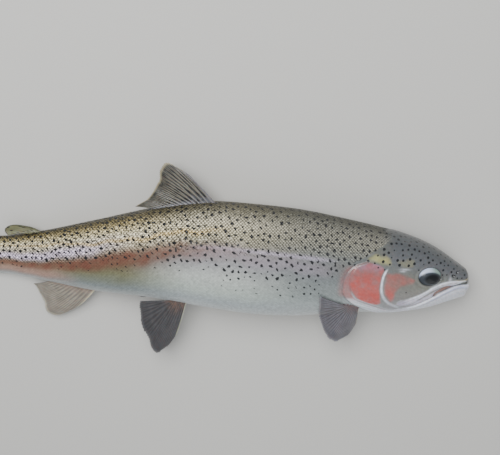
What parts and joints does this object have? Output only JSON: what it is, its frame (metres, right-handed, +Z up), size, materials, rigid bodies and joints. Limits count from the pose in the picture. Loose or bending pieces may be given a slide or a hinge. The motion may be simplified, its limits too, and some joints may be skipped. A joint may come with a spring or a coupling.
{
  "type": "rainbow trout",
  "caption": "Life-size rainbow trout lying still on its left flank, mouth all but closed and fins half open; a display or scene animal.",
  "frame": {"origin": "bottom centre of the bounding box, on the floor under the fish as it lies on its left flank", "axes": "+X from the tail towards the head, +Y from the belly towards the back, +Z up through the right flank"},
  "size_m": [0.6004, 0.2049, 0.0665],
  "materials": {
    "head_skin": "wet",
    "jaw_skin": "wet",
    "gill_cover_skin": "wet",
    "scaled_skin": "wet, pearly scales",
    "fin": "wet membrane",
    "eye": "glossy"
  },
  "bodies": {
    "root": {"head": "head_skin", "lower_jaw": "jaw_skin", "gill_cover_right": "gill_cover_skin", "gill_cover_left": "gill_cover_skin", "trunk": "scaled_skin", "tail_stalk": "scaled_skin", "eye_right": "eye", "eye_left": "eye", "dorsal_fin": "fin", "adipose_fin": "fin", "anal_fin": "fin", "pelvic_fin_right": "fin", "pelvic_fin_left": "fin", "pectoral_fin_right": "fin", "pectoral_fin_left": "fin", "tail_fin": "fin"}
  },
  "joints": []
}
